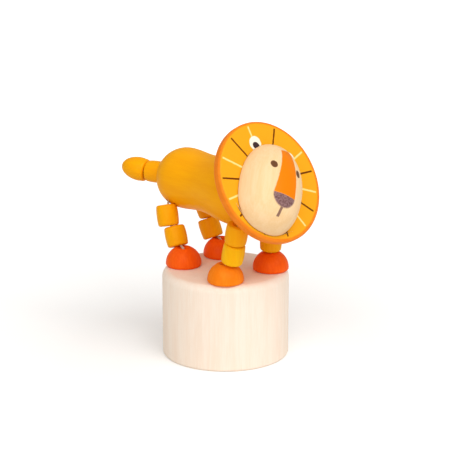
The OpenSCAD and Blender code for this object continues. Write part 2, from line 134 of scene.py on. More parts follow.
# The head's frame rolls with it: X to the face's left, Y up the face and Z out of the mane.
# It starts on the disc's axis, as far behind the front as the rim's rounding
MANE_PITCH, MANE_ROLL = math.radians(29), math.radians(32)
mane_out = Vector((math.cos(MANE_PITCH), 0, math.sin(MANE_PITCH)))
mane_up = Vector((-math.sin(MANE_PITCH), 0, math.cos(MANE_PITCH)))
mane_back = MANE_ROUND - MANE_T
head_origin = centre("mane") + mane_out * (MANE_T / 2 - MANE_ROUND)
head_pitch = Matrix.Rotation(math.pi / 2 - MANE_PITCH, 4, "Y")
head_turn = head_pitch @ Matrix.Rotation(math.pi / 2 - MANE_ROLL, 4, "Z")
head_place = Matrix.Translation(head_origin) @ head_turn
# The cord leaves the body on its axis and enters the mane below its middle
neck_drop = (head_origin.z - axis_z + mane_back * mane_out.z) / mane_up.z
neck_point = head_origin + mane_out * mane_back - mane_up * neck_drop

# The tail swings in the level plane, and its tip rises a little
TAIL_SWING, TIP_RISE = math.radians(22), math.radians(6)
tail_out = Vector((-math.cos(TAIL_SWING), -math.sin(TAIL_SWING), 0))
tip_out = tail_out * math.cos(TIP_RISE) + Vector((0, 0, math.sin(TIP_RISE)))
tail_start = centre("tail_root") + SETTLE - tail_out * TAIL_ROOT_L / 2
tail_joint = tail_start + tail_out * (TAIL_ROOT_L + TAIL_GAP)


def bead_axis(lean, tilt):
    """Direction of a bead that leans forward and tilts to the lion's left."""
    a, b = math.radians(lean), math.radians(tilt)
    return Vector((math.cos(b) * math.sin(a), math.sin(b), math.cos(b) * math.cos(a)))


def ease(t):
    return t * t * (3 - 2 * t)


def body_r(x):
    """Radius of the turned body along X: dome, waist, chest and taper."""
    if x < -DOME_X:
        return math.sqrt(max(0, DOME_R ** 2 - (x + DOME_X) ** 2))
    if x < -WAIST_X:
        return DOME_R + (WAIST_R - DOME_R) * ease((x + DOME_X) / (DOME_X - WAIST_X))
    if x < CHEST_X:
        return WAIST_R + (CHEST_R - WAIST_R) * ease((x + WAIST_X) / (CHEST_X + WAIST_X))
    return CHEST_R * math.sqrt(max(0, 1 - ((x - CHEST_X) / CHEST_TAPER) ** 2))


# Materials

MIX_A, MIX_B, MIX_RESULT = 6, 7, 2


def add(tree, kind, inputs=None, **settings):
    """Adds a node: settings are its properties, inputs are socket values or the outputs that feed them."""
    node = tree.nodes.new(kind)
    for key, value in settings.items():
        setattr(node, key, value)
    for socket, value in (inputs or {}).items():
        if isinstance(value, bpy.types.NodeSocket):
            tree.links.new(value, node.inputs[socket])
        else:
            node.inputs[socket].default_value = value
    return node


def new_tree(name):
    """A material with an empty node tree."""
    material = bpy.data.materials.new(name)
    material.use_nodes = True
    material.node_tree.nodes.clear()
    return material, material.node_tree


def turned_wood(name, early, late, grain, gloss, paint=None):
    """Close-grained hardwood under stain and a thin lacquer.

    Early and late are the colours of the two kinds of growth, grain is the way the fibres run, gloss is
    the coat's weight and paint draws on the wood. The eye sees faint streaks along the fibres, a slightly
    deeper colour on end grain, which drinks more stain, short dark flecks and a soft sheen that breaks on
    the fibres.
    """
    material, tree = new_tree(name)
    where = add(tree, "ShaderNodeTexCoord")
    # A unit is a millimetre across the fibres and 14 mm along them
    turn = Vector(grain).to_track_quat("Z", "Y").to_euler()
    fibres = add(tree, "ShaderNodeMapping", {
        "Vector": where.outputs["Object"], "Rotation": turn, "Scale": (MM, MM, 14 * MM),
    }, vector_type="TEXTURE").outputs["Vector"]
    bands = add(tree, "ShaderNodeTexNoise", {
        "Vector": fibres, "Scale": 0.32, "Detail": 2.0, "Distortion": 0.4,
    })
    streaks = add(tree, "ShaderNodeTexNoise", {
        "Vector": fibres, "Scale": 1.5, "Detail": 5.0, "Roughness": 0.6,
    })
    growth = add(tree, "ShaderNodeMath", {0: bands.outputs[0], 1: streaks.outputs[0]}, operation="ADD")
    shade = add(tree, "ShaderNodeMapRange", {
        "Value": growth.outputs[0], "From Min": 0.72, "From Max": 1.28,
    }, interpolation_type="SMOOTHSTEP")
    wood = add(tree, "ShaderNodeMix", {
        0: shade.outputs[0], MIX_A: srgb(early), MIX_B: srgb(late),
    }, data_type="RGBA")
    # Flecks are drawn about 0.3 mm wide, about twice their real width, so that a pixel can hold them
    pores = add(tree, "ShaderNodeTexNoise", {"Vector": fibres, "Scale": 3.4, "Detail": 1.0})
    fleck = add(tree, "ShaderNodeMapRange", {
        "Value": pores.outputs[0], "From Min": 0.68, "From Max": 0.78, "To Max": 0.10,
    })
    pore_colour = (*[c * 0.55 for c in srgb(late)[:3]], 1)
    flecked = add(tree, "ShaderNodeMix", {
        0: fleck.outputs[0], MIX_A: wood.outputs[MIX_RESULT], MIX_B: pore_colour,
    }, data_type="RGBA")
    # End grain shows where the surface faces along the fibres
    facing = add(tree, "ShaderNodeVectorMath", {
        0: where.outputs["Normal"], 1: Vector(grain).normalized(),
    }, operation="DOT_PRODUCT")
    ends = add(tree, "ShaderNodeMath", {0: facing.outputs["Value"]}, operation="ABSOLUTE")
    soaked = add(tree, "ShaderNodeMapRange", {
        "Value": ends.outputs[0], "From Min": 0.75, "From Max": 1.0, "To Max": 0.25,
    }, interpolation_type="SMOOTHSTEP")
    colour = add(tree, "ShaderNodeMix", {
        0: soaked.outputs[0], MIX_A: flecked.outputs[MIX_RESULT], MIX_B: srgb(late),
    }, data_type="RGBA").outputs[MIX_RESULT]
    if paint:
        colour = paint(tree, where.outputs["Object"], colour)
    sheen = add(tree, "ShaderNodeMapRange", {
        "Value": streaks.outputs[0], "From Min": 0.3, "From Max": 0.7, "To Min": 0.42, "To Max": 0.52,
    })
    relief = add(tree, "ShaderNodeBump", {
        "Height": streaks.outputs[0], "Strength": 0.2, "Distance": 0.03 * MM,
    })
    surface = add(tree, "ShaderNodeBsdfPrincipled", {
        "Base Color": colour, "Roughness": sheen.outputs[0], "Normal": relief.outputs[0],
        "Coat Weight": gloss, "Coat Roughness": 0.25, "Specular IOR Level": 0.06,
    })
    add(tree, "ShaderNodeOutputMaterial", {"Surface": surface.outputs[0]})
    return material


def inked(tree, colour, mask, ink):
    """The colour with ink laid over it where the mask is 1."""
    mixed = add(tree, "ShaderNodeMix", {0: mask, MIX_A: colour, MIX_B: ink}, data_type="RGBA")
    return mixed.outputs[MIX_RESULT]


def soft_below(tree, value, edge, blur):
    """1 where the value is below the edge, 0 above it, with a blurred step as wide as printing ink's."""
    return add(tree, "ShaderNodeMapRange", {
        "Value": value, "From Min": edge - blur, "From Max": edge + blur, "To Min": 1.0, "To Max": 0.0,
    }).outputs[0]


def head_millimetres(tree, position, shift=(0, 0, 0), turn=0):
    """Head coordinates in millimetres, with the slight wobble of a hand-held print.

    They are the ways across, up and out, and a vector of the first two, folded about the midline.
    """
    place = head_place @ Matrix.Translation(Vector(shift) * MM) @ Matrix.Rotation(turn, 4, "Z")
    flat = add(tree, "ShaderNodeMapping", {
        "Vector": position, "Location": place.to_translation(), "Rotation": place.to_euler(),
        "Scale": (MM, MM, MM),
    }, vector_type="TEXTURE").outputs["Vector"]
    wobble = add(tree, "ShaderNodeTexNoise", {"Vector": flat, "Scale": 0.9, "Detail": 2.0})
    shaken = add(tree, "ShaderNodeVectorMath", {
        0: wobble.outputs["Color"], 1: (0.22, 0.22, 0), 2: flat,
    }, operation="MULTIPLY_ADD").outputs[0]
    across, up, out = add(tree, "ShaderNodeSeparateXYZ", {0: shaken}).outputs
    side = add(tree, "ShaderNodeMath", {0: across}, operation="ABSOLUTE").outputs[0]
    fold = add(tree, "ShaderNodeCombineXYZ", {"X": side, "Y": up}).outputs[0]
    return across, up, out, fold


def spot(tree, flat, middle, radii, blur=0.06):
    """Mask of an ellipse."""
    offset = add(tree, "ShaderNodeVectorMath", {0: flat, 1: (*middle, 0)}, operation="SUBTRACT").outputs[0]
    scaled = add(tree, "ShaderNodeVectorMath", {0: offset, 1: (*radii, 1)}, operation="DIVIDE").outputs[0]
    reach = add(tree, "ShaderNodeVectorMath", {0: scaled}, operation="LENGTH").outputs["Value"]
    return soft_below(tree, reach, 1.0, blur)


def both(tree, first, second):
    """Mask where both masks are 1."""
    return add(tree, "ShaderNodeMath", {0: first, 1: second}, operation="MULTIPLY").outputs[0]


def nearest_ray(tree, fold, angles):
    """Distance to the nearest of the rays that leave the middle at these angles from straight up."""
    nearest = None
    for angle in angles:
        across = (math.cos(math.radians(angle)), -math.sin(math.radians(angle)), 0)
        offset = add(tree, "ShaderNodeVectorMath", {0: fold, 1: across}, operation="DOT_PRODUCT")
        offset = offset.outputs["Value"]
        distance = add(tree, "ShaderNodeMath", {0: offset}, operation="ABSOLUTE").outputs[0]
        if nearest is None:
            nearest = distance
        else:
            nearest = add(tree, "ShaderNodeMath", {0: nearest, 1: distance}, operation="MINIMUM").outputs[0]
    return nearest


def mane_print(tree, position, colour):
    """Amber disc inside an orange rim, dark and pale rays, and two ears on the front of the mane."""
    disc_r, rays_r, ray_half_width = 22.9, 22.3, 0.36
    # The print sits a little to the face's right of the disc's middle
    across, up, out, fold = head_millimetres(tree, position, shift=(-0.4, 0, 0), turn=math.radians(2))
    flat = add(tree, "ShaderNodeCombineXYZ", {"X": across, "Y": up}).outputs[0]
    radius = add(tree, "ShaderNodeVectorMath", {0: fold}, operation="LENGTH").outputs["Value"]
    behind = add(tree, "ShaderNodeMath", {0: out, 1: -1.0}, operation="MULTIPLY").outputs[0]
    front = soft_below(tree, behind, -0.6, 0.1)
    disc = both(tree, soft_below(tree, radius, disc_r, 0.2), front)
    colour = inked(tree, colour, disc, srgb("#F4A51B"))
    # Pale and dark rays, at angles from straight up the face that differ on its right and left
    rays = both(tree, soft_below(tree, radius, rays_r, 0.15), front)
    right_half = both(tree, soft_below(tree, across, 0.0, 0.01), rays)
    left_half = add(tree, "ShaderNodeMath", {0: rays, 1: right_half}, operation="SUBTRACT").outputs[0]
    for ink, half, angles in (
        ("#FBDC86", right_half, (33.5, 85.5, 128.5)),
        ("#FBDC86", left_half, (38.5, 82, 124)),
        ("#6B3504", right_half, (0, 60.5, 107, 148)),
        ("#6B3504", left_half, (0, 60, 103.5, 151)),
    ):
        line = soft_below(tree, nearest_ray(tree, fold, angles), ray_half_width, 0.1)
        colour = inked(tree, colour, both(tree, line, half), srgb(ink))
    # The face covers most of the left ear
    for ear, hole in (((-8.15, 12.95), (-7.65, 12.2)), ((8, 12), (7.6, 10.9))):
        white = both(tree, spot(tree, flat, ear, (2.75, 2.9)), front)
        colour = inked(tree, colour, white, srgb("#F8F2DC"))
        black = both(tree, spot(tree, flat, hole, (1.65, 1.4)), front)
        colour = inked(tree, colour, black, srgb("#40302F"))
    return colour


def face_print(tree, position, colour):
    """Orange bridge from nose to forehead, brown eyes, a rounded nose, a short mouth line and painted shade
    round the face's foot.
    """
    across, up, out, fold = head_millimetres(tree, position, shift=(-0.35, 0, 0))
    nose_top, nose_wide, nose_deep = -9.85, 4.95, 4.7
    bridge_lean, bridge_narrowing, bridge_curve = 0.05, 0.108, 0.0012
    crown_edge, crown_slope, mouth_end, mouth_half_width = 10.6, 0.3, 17.9, 0.58
    # The bridge leans to the face's left, and narrows in a slow curve from the nose upwards
    rise = add(tree, "ShaderNodeMath", {0: up, 1: -nose_top}, operation="ADD").outputs[0]
    leaning = add(tree, "ShaderNodeMath", {0: rise, 1: -bridge_lean, 2: across}, operation="MULTIPLY_ADD")
    side = add(tree, "ShaderNodeMath", {0: leaning.outputs[0]}, operation="ABSOLUTE").outputs[0]
    bend = add(tree, "ShaderNodeMath", {
        0: rise, 1: -bridge_curve, 2: -bridge_narrowing,
    }, operation="MULTIPLY_ADD")
    width = add(tree, "ShaderNodeMath", {
        0: bend.outputs[0], 1: rise, 2: nose_wide,
    }, operation="MULTIPLY_ADD")
    past = add(tree, "ShaderNodeMath", {0: side, 1: width.outputs[0]}, operation="SUBTRACT").outputs[0]
    fall = add(tree, "ShaderNodeMath", {0: rise, 1: -1.0}, operation="MULTIPLY").outputs[0]
    # It ends short of the crown, in a slanting edge
    crown = add(tree, "ShaderNodeMath", {0: across, 1: -crown_slope, 2: up}, operation="MULTIPLY_ADD")
    bridge = both(tree, soft_below(tree, past, 0.0, 0.12), soft_below(tree, fall, 0.0, 0.12))
    bridge = both(tree, bridge, soft_below(tree, crown.outputs[0], crown_edge, 0.15))
    colour = inked(tree, colour, bridge, srgb("#F08003"))
    # Speckled ink of the nose
    grit = add(tree, "ShaderNodeTexNoise", {"Vector": fold, "Scale": 1.3, "Detail": 4.0})
    speckle = add(tree, "ShaderNodeMapRange", {
        "Value": grit.outputs[0], "From Min": 0.38, "From Max": 0.66,
    })
    nose_ink = add(tree, "ShaderNodeMix", {
        0: speckle.outputs[0], MIX_A: srgb("#6F4E4E"), MIX_B: srgb("#9C7A78"),
    }, data_type="RGBA").outputs[MIX_RESULT]
    below = soft_below(tree, rise, 0.0, 0.12)
    nose = both(tree, spot(tree, fold, (0, nose_top), (nose_wide, nose_deep)), below)
    colour = inked(tree, colour, nose, nose_ink)
    mouth_low = add(tree, "ShaderNodeMath", {0: up, 1: -1.0}, operation="MULTIPLY").outputs[0]
    mouth_sides = soft_below(tree, side, mouth_half_width, 0.1)
    mouth = both(tree, mouth_sides, soft_below(tree, mouth_low, mouth_end, 0.15))
    mouth = both(tree, mouth, soft_below(tree, up, nose_top - nose_deep + 0.1, 0.1))
    colour = inked(tree, colour, mouth, srgb("#8C6A5A"))
    eyes = spot(tree, fold, (5.55, 1.6), (1.25, 1.6))
    colour = inked(tree, colour, eyes, srgb("#6A452C"))
    # Painted shade where the face meets the mane: a brown band round the face's foot
    painted_crease_shade = soft_below(tree, out, MANE_ROUND / MM + 0.35, 0.2)
    return inked(tree, colour, painted_crease_shade, srgb("#8A5526"))


def cotton(name):
    """Twisted unbleached cotton, matt, its cream darkened overall as painted shade, with more painted shade
    in the valleys between fibres and a little fuzz.
    """
    material, tree = new_tree(name)
    where = add(tree, "ShaderNodeTexCoord").outputs["Object"]
    # Fibre bundles are drawn about 0.17 mm wide
    fibres = add(tree, "ShaderNodeTexNoise", {"Vector": where, "Scale": 6000.0, "Detail": 3.0})
    # Darker where the fibre relief is low: painted shade in the valleys, over a cream darkened as painted
    # shade
    colour = add(tree, "ShaderNodeMix", {
        0: fibres.outputs[0], MIX_A: srgb("#C6B08E"), MIX_B: srgb("#EBDCC2"),
    }, data_type="RGBA")
    rough = add(tree, "ShaderNodeMapRange", {"Value": fibres.outputs[0], "To Min": 0.8, "To Max": 0.95})
    relief = add(tree, "ShaderNodeBump", {
        "Height": fibres.outputs[0], "Strength": 0.6, "Distance": 0.05 * MM,
    })
    surface = add(tree, "ShaderNodeBsdfPrincipled", {
        "Base Color": colour.outputs[MIX_RESULT], "Roughness": rough.outputs[0],
        "Normal": relief.outputs[0], "Sheen Weight": 0.3,
    })
    add(tree, "ShaderNodeOutputMaterial", {"Surface": surface.outputs[0]})
    return material


def spring_wire(name):
    """Cold-drawn spring steel: bright wire with fine die marks and a slight oil stain."""
    material, tree = new_tree(name)
    where = add(tree, "ShaderNodeTexCoord").outputs["Object"]
    # Die marks are drawn about 0.2 mm wide
    marks = add(tree, "ShaderNodeTexNoise", {"Vector": where, "Scale": 5000.0, "Detail": 2.0})
    stain = add(tree, "ShaderNodeTexNoise", {"Vector": where, "Scale": 400.0, "Detail": 3.0})
    colour = add(tree, "ShaderNodeMix", {
        0: stain.outputs[0], MIX_A: srgb("#B9BCC0"), MIX_B: srgb("#8E8C88"),
    }, data_type="RGBA")
    rough = add(tree, "ShaderNodeMapRange", {"Value": marks.outputs[0], "To Min": 0.22, "To Max": 0.42})
    surface = add(tree, "ShaderNodeBsdfPrincipled", {
        "Base Color": colour.outputs[MIX_RESULT], "Roughness": rough.outputs[0], "Metallic": 1.0,
    })
    add(tree, "ShaderNodeOutputMaterial", {"Surface": surface.outputs[0]})
    return material


UPRIGHT, LENGTHWAYS = (0, 0, 1), (1, 0, 0)
mane_grain = head_turn @ Vector((1, 0, 0))
face_grain = head_turn @ Vector((0, 1, 0))
# Lime wood of the drum under clear satin lacquer
pale_wood = turned_wood("clear_lacquered_lime", "#FBEBDA", "#F8E4D0", UPRIGHT, 0.03)
# Beech pieces dipped in amber stain, one bead of them from a yellower batch
amber_bead = turned_wood("amber_stained_beech_beads", "#FDAD05", "#F9A504", UPRIGHT, 0.04)
yellow_bead = turned_wood("yellow_stained_beech_bead", "#FFC00A", "#FBB206", UPRIGHT, 0.04)
amber_body = turned_wood("amber_stained_beech_body", "#FDAD05", "#F9A504", LENGTHWAYS, 0.04)
amber_tail = turned_wood("amber_stained_beech_tail", "#FDAD05", "#F9A504", tail_out, 0.04)
# Half balls dipped in red-orange stain, one of them from a paler batch
red_foot = turned_wood("red_orange_stained_beech", "#FF6510", "#F85A0A", UPRIGHT, 0.04)
orange_foot = turned_wood("orange_stained_beech", "#FD8A16", "#F87E0E", UPRIGHT, 0.04)
# Disc sawn from a plank, orange stain with a printed front
mane_wood = turned_wood("orange_stained_printed_beech", "#F58920", "#EE7E18", mane_grain, 0.03, mane_print)
# Half egg of pale beech with printed features
face_wood = turned_wood("clear_lacquered_printed_beech", "#F6D2A2", "#F2CA95", face_grain, 0.03, face_print)
cord_cotton = cotton("twisted_cotton")
steel = spring_wire("drawn_spring_steel")


# Cords: three plies twisted round each route, in one piece for each joint that they cross

PLY_R, PLY_REACH, PLY_PITCH, CORD_STEP = 0.25 * MM, 0.25 * MM, 2.2 * MM, 0.2 * MM
KNOT_SIZE, KNOT_CORD_R, KNOT_DROP = 0.36 * MM, 0.5 * MM, 1.6 * MM


def walked(route):
    """Evenly spaced points along a route, with its corners rounded."""
    points = [Vector(route[0])]
    for start, end in zip(route, route[1:]):
        start, end = Vector(start), Vector(end)
        steps = max(1, round((end - start).length / CORD_STEP))
        points += [start.lerp(end, i / steps) for i in range(1, steps + 1)]
    reach = 4
    rounded = []
    for i, point in enumerate(points):
        near = points[i - reach:i + reach + 1] if reach <= i < len(points) - reach else [point]
        rounded.append(sum(near, Vector()) / len(near))
    return rounded


def plies(points, across):
    """The three twisted plies of a cord along its points."""
    twists = [[], [], []]
    for i, point in enumerate(points):
        along = (points[min(i + 1, len(points) - 1)] - points[max(i - 1, 0)]).normalized()
        over = along.cross(Vector(across)).normalized()
        for k, twist in enumerate(twists):
            angle = math.tau * (i * CORD_STEP / PLY_PITCH + k / 3)
            twist.append(point + PLY_REACH * (over * math.cos(angle) + along.cross(over) * math.sin(angle)))
    return twists


def wires(name, lines, radius, material, slot, *nodes):
    """A mesh of round wires along lines of points, standing for CAD nodes."""
    curve = bpy.data.curves.new(name, "CURVE")
    curve.dimensions = "3D"
    curve.bevel_depth = radius
    curve.bevel_resolution = 2
    curve.use_fill_caps = True
    for line in lines:
        spline = curve.splines.new("POLY")
        spline.points.add(len(line) - 1)
        for point, place in zip(spline.points, line):
            point.co = (*place, 1)
    drawn = bpy.data.objects.new(name, curve)
    mesh = bpy.data.meshes.new_from_object(drawn)
    bpy.data.objects.remove(drawn)
    bpy.data.curves.remove(curve)
    mesh.name = name
    mesh.shade_smooth()
    mesh.materials.clear()
    mesh.materials.append(material)
    wire = bpy.data.objects.new(name, mesh)
    scene.collection.objects.link(wire)
    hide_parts(*nodes)
    return wire


def cord(name, routes, node, across=(0, 1, 0)):
    """Cord pieces along one or more routes."""
    lines = [ply for route in routes for ply in plies(walked(route), across)]
    return wires(name, lines, PLY_R, cord_cotton, "cotton_cord", node)


def bead_length(node):
    return BEAD_L + LONG_BEAD_EXTRA if node == LONG_BEAD else BEAD_L


def bead_ends(node, axis):
    """Bottom and top of a leg bead on its axis."""
    middle = centre(node)
    if node.startswith("front_right"):
        middle += FRONT_RIGHT_SHIFT
    bottom = middle - axis * BEAD_L / 2
    return bottom, bottom + axis * bead_length(node)


def knot(middle):
    """Closed line of a tight overhand knot."""
    turns = [math.tau * i / 48 for i in range(49)]
    return [middle + KNOT_SIZE * Vector((
        math.sin(t) + 2 * math.sin(2 * t), math.cos(t) - 2 * math.cos(2 * t), -math.sin(3 * t),
    )) for t in turns]


# Travel of the button
button_low, button_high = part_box("push_button")
BOSS_H, DISH_DEPTH = 2 * MM, 3.4 * MM
dish_z = button_low[2] + DISH_DEPTH
upwards = Vector((0, 0, 1))
for leg in LEGS:
    node = leg.split("_")[0] + "_cord"
    lower_axis, upper_axis = (bead_axis(*stance) for stance in STANCE[leg])
    foot = centre(leg + "_foot")
    foot_mouth = Vector((foot.x, foot.y, drum_top + FOOT_LIFT + FOOT_R - FOOT_LEAD))
    roof = Vector((foot.x, foot.y, roof_z))
    hole = Vector((foot.x, foot.y, 0)).normalized() * BUTTON_HOLES_R
    lower_bottom, lower_top = bead_ends(leg + "_lower_leg", lower_axis)
    upper_bottom, upper_top = bead_ends(leg + "_upper_leg", upper_axis)
    lower_lead, upper_lead = lower_axis * CORD_LEAD, upper_axis * CORD_LEAD
    lower_mid, upper_mid = (lower_bottom + lower_top) / 2, (upper_bottom + upper_top) / 2
    hip = Vector((upper_top.x, 0, axis_z))
    hip_mouth = hip + Vector((0, upper_top.y, upper_top.z - axis_z)).normalized() * body_r(upper_top.x)
    hip_end = hip + Vector((0, math.copysign(STRAND_Y, foot.y), 0))

    ankle = cord(leg + "_ankle_cord", [[roof, foot_mouth, lower_bottom + lower_lead, lower_mid]], node)
    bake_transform(ankle)
    knee_route = [lower_mid, lower_top - lower_lead, upper_bottom + upper_lead, upper_mid]
    knee = cord(leg + "_knee_cord", [knee_route], node)
    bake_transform(knee)
    to_mouth = [upper_mid, upper_top - upper_lead, hip_mouth]
    if leg == "rear_right":
        hip_cord = cord(leg + "_hip_cord", [to_mouth + [hip_end]], node)
        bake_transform(hip_cord)
    else:
        # The other hips are no joints of the frame, so the cord is in two pieces there
        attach(cord(leg + "_hip_cord", [to_mouth], node), leg + "_upper")
        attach(cord(leg + "_belly_cord", [[hip_mouth, hip_end]], node), "torso")
    # Inside the drum the cord goes slack as the button rises
    slack = cord(leg + "_slack_cord", [[Vector((hole.x, hole.y, dish_z)), roof]], node)
    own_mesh(slack)
    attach(slack, "base")
    knot_line = knot(Vector((hole.x, hole.y, dish_z - KNOT_DROP)))
    knotted = wires(leg + "_knot", [knot_line], KNOT_CORD_R, cord_cotton, "cotton_cord", node)
    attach(knotted, "button")

neck_lead, face_reach = 5 * MM, 4.5 * MM
sideways = Vector((0, STRAND_Y, 0))
neck_in, neck_far = neck_point - Vector((neck_lead, 0, 0)), neck_point + mane_out * (MANE_T + face_reach)
neck_cord = cord("neck_cord", [
    [neck_in + s, neck_point + s, neck_point + mane_out * MANE_T + s, neck_far + s]
    for s in (sideways, -sideways)
], "front_cord", (0, 0, 1))
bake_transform(neck_cord)

tail_across = Vector((math.sin(TAIL_SWING), -math.cos(TAIL_SWING), 0)) * STRAND_Y
dome_end = Vector((-DOME_X - DOME_R, 0, axis_z))
tail_in = dome_end + Vector((neck_lead, 0, 0))
root_mid = (tail_start + tail_joint) / 2
tip_in = tail_joint + tip_out * (TAIL_HOLE_DEPTH - CORD_LEAD)
root_cord = cord("tail_root_cord", [
    [tail_in + s, dome_end + s, tail_start + s, root_mid + s] for s in (tail_across, -tail_across)
], "rear_cord", (0, 0, 1))
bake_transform(root_cord)
tip_cord = cord("tail_tip_cord", [
    [root_mid + s, tail_joint + s, tip_in + s] for s in (tail_across, -tail_across)
], "rear_cord", (0, 0, 1))
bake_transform(tip_cord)


# Turned pieces

TURN_STEPS = 96


def arc(middle, r, start, end, steps=8):
    """Points (radius, height) of an arc, from one angle to another in degrees."""
    angles = [math.radians(start + (end - start) * i / steps) for i in range(steps + 1)]
    return [(middle[0] + r * math.cos(a), middle[1] + r * math.sin(a)) for a in angles]


def turned(profile, steps=TURN_STEPS):
    """A solid turned about Z from its profile of (radius, height) points."""
    bm = bmesh.new()
    verts = [bm.verts.new((r, 0, z)) for r, z in profile]
    edges = [bm.edges.new(pair) for pair in zip(verts, verts[1:])]
    bmesh.ops.spin(bm, geom=verts + edges, cent=(0, 0, 0), axis=(0, 0, 1), angle=math.tau, steps=steps,
                   use_merge=True)
    bmesh.ops.remove_doubles(bm, verts=bm.verts, dist=0.1e-6)
    bmesh.ops.recalc_face_normals(bm, faces=bm.faces)
    return bm


def placed(bm, place):
    bmesh.ops.transform(bm, matrix=place, verts=bm.verts)
    return bm


def pointing(start, axis):
    """Matrix that stands a piece on a point, with its Z along an axis."""
    return Matrix.Translation(start) @ Vector(axis).to_track_quat("Z", "Y").to_matrix().to_4x4()


def sliced(bm, point, normal, keep_ahead):
    """Cuts a solid by a plane, keeps one side and closes it."""
    bmesh.ops.bisect_plane(
        bm, geom=bm.verts[:] + bm.edges[:] + bm.faces[:], plane_co=point, plane_no=normal,
        clear_inner=keep_ahead, clear_outer=not keep_ahead,
    )
    bmesh.ops.holes_fill(bm, edges=[e for e in bm.edges if e.is_boundary])
    bmesh.ops.recalc_face_normals(bm, faces=bm.faces)
    return bm


def drilled(bm, holes):
    """Cuts round holes out of a solid, each from one point to another with a radius."""
    drill = bmesh.new()
    # The roll keeps the drill's edges off the seams of the solid
    roll = Matrix.Rotation(math.radians(3), 4, "Z")
    for start, end, r in holes:
        along = end - start
        bmesh.ops.create_cone(drill, cap_ends=True, segments=32, radius1=r, radius2=r, depth=along.length,
                              matrix=pointing((start + end) / 2, along) @ roll)
    made = []
    for solid in (bm, drill):
        mesh = bpy.data.meshes.new("drilling")
        solid.to_mesh(mesh)
        solid.free()
        made.append(bpy.data.objects.new("drilling", mesh))
        scene.collection.objects.link(made[-1])
    cut = made[0].modifiers.new("holes", "BOOLEAN")
    cut.object = made[1]
    cut.operation = "DIFFERENCE"
    cut.solver = "EXACT"
    result = bpy.data.meshes.new_from_object(made[0].evaluated_get(bpy.context.evaluated_depsgraph_get()))
    solid = bmesh.new()
    solid.from_mesh(result)
    for old in made:
        bpy.data.meshes.remove(old.data)
    bpy.data.meshes.remove(result)
    return solid


def piece(name, bm, material, slot, body, *nodes):
    """Shows a solid as a piece of a body in place of its CAD nodes."""
    mesh = bpy.data.meshes.new(name)
    bm.to_mesh(mesh)
    bm.free()
    mesh.shade_smooth()
    mesh.set_sharp_from_angle(angle=math.radians(32))
    mesh.materials.clear()
    mesh.materials.append(material)
    shown = bpy.data.objects.new(name, mesh)
    scene.collection.objects.link(shown)
    shown.modifiers.new("flat_faces_stay_flat", "WEIGHTED_NORMAL").keep_sharp = True
    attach(shown, body)
    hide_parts(*nodes)


def bead(d, l, hole, mouth):
    """Barrel with rounded ends and a countersunk hole, standing on the origin."""
    end_r = d / 2 - BEAD_BULGE
    span = l - 2 * BEAD_ROUND
    shares = [i / 8 for i in range(1, 8)]
    side = [(end_r + BEAD_BULGE * 4 * t * (1 - t), BEAD_ROUND + span * t) for t in shares]
    hole_r = hole / 2
    return turned(
        [(hole_r, mouth), (hole_r + mouth, 0)]
        + arc((end_r - BEAD_ROUND, BEAD_ROUND), BEAD_ROUND, -90, 0)
        + side
        + arc((end_r - BEAD_ROUND, l - BEAD_ROUND), BEAD_ROUND, 0, 90)
        + [(hole_r + mouth, l), (hole_r, l - mouth), (hole_r, mouth)],
        steps=64,
    )


def foot_ball():
    """Half ball with a rounded lower edge and a countersunk hole, standing on the origin."""
    hole_r = HOLE_D / 2
    low, high = math.asin((FOOT_EDGE - FOOT_LIFT) / FOOT_R), math.acos((hole_r + FOOT_MOUTH) / FOOT_R)
    edge_r = FOOT_R * math.cos(low) - FOOT_EDGE
    ball = arc((0, FOOT_LIFT), FOOT_R, math.degrees(low), math.degrees(high), 20)
    return turned(
        [(hole_r, 0)] + arc((edge_r, FOOT_EDGE), FOOT_EDGE, -90, 0)[:-1] + ball
        + [(hole_r, ball[-1][1] - FOOT_MOUTH), (hole_r, 0)]
    )


# Drum: hollow, closed on top, with a well rounded top edge
DRUM_TOP_ROUND, DRUM_FOOT_ROUND, BORE_R = 3 * MM, 1 * MM, 20.5 * MM
drum = turned(
    [(0, drum_top)]
    + arc((drum_r - DRUM_TOP_ROUND, drum_top - DRUM_TOP_ROUND), DRUM_TOP_ROUND, 90, 0, 10)
    + arc((drum_r - DRUM_FOOT_ROUND, DRUM_FOOT_ROUND), DRUM_FOOT_ROUND, 0, -90)
    + [(BORE_R, 0), (BORE_R, roof_z), (0, roof_z)],
    steps=160,
)
feet = {leg: centre(leg + "_foot") for leg in LEGS}
drum = drilled(drum, [
    (Vector((f.x, f.y, roof_z - MM)), Vector((f.x, f.y, drum_top + MM)), HOLE_D / 2) for f in feet.values()
])
piece("drum_turned", drum, pale_wood, "pale_wood", "base", "drum")

# Button: dished below for the knots, with a boss above that keeps the spring in the middle
BUTTON_EDGE, DISH_WALL, BOSS_R = 0.8 * MM, 1.6 * MM, 9.16 * MM
button_r = button_high[0]
button_top = button_high[2] - BOSS_H
dish_r = button_r - DISH_WALL
button = turned(
    [(0, dish_z), (dish_r - BUTTON_EDGE, dish_z), (dish_r, dish_z - BUTTON_EDGE), (dish_r, BUTTON_RECESS)]
    + arc((button_r - BUTTON_EDGE, BUTTON_RECESS + BUTTON_EDGE), BUTTON_EDGE, -90, 0)
    + arc((button_r - BUTTON_EDGE, button_top - BUTTON_EDGE), BUTTON_EDGE, 0, 90)
    + [(BOSS_R, button_top)]
    + arc((BOSS_R - BUTTON_EDGE, button_high[2] - BUTTON_EDGE), BUTTON_EDGE, 0, 90)
    + [(0, button_high[2])],
    steps=128,
)
button_holes = [Vector((f.x, f.y, 0)).normalized() * BUTTON_HOLES_R for f in feet.values()]
button = drilled(button, [
    (h + upwards * (dish_z - MM), h + upwards * (button_top + MM), HOLE_D / 2) for h in button_holes
])
piece("button_turned", button, pale_wood, "pale_wood", "button", "push_button")

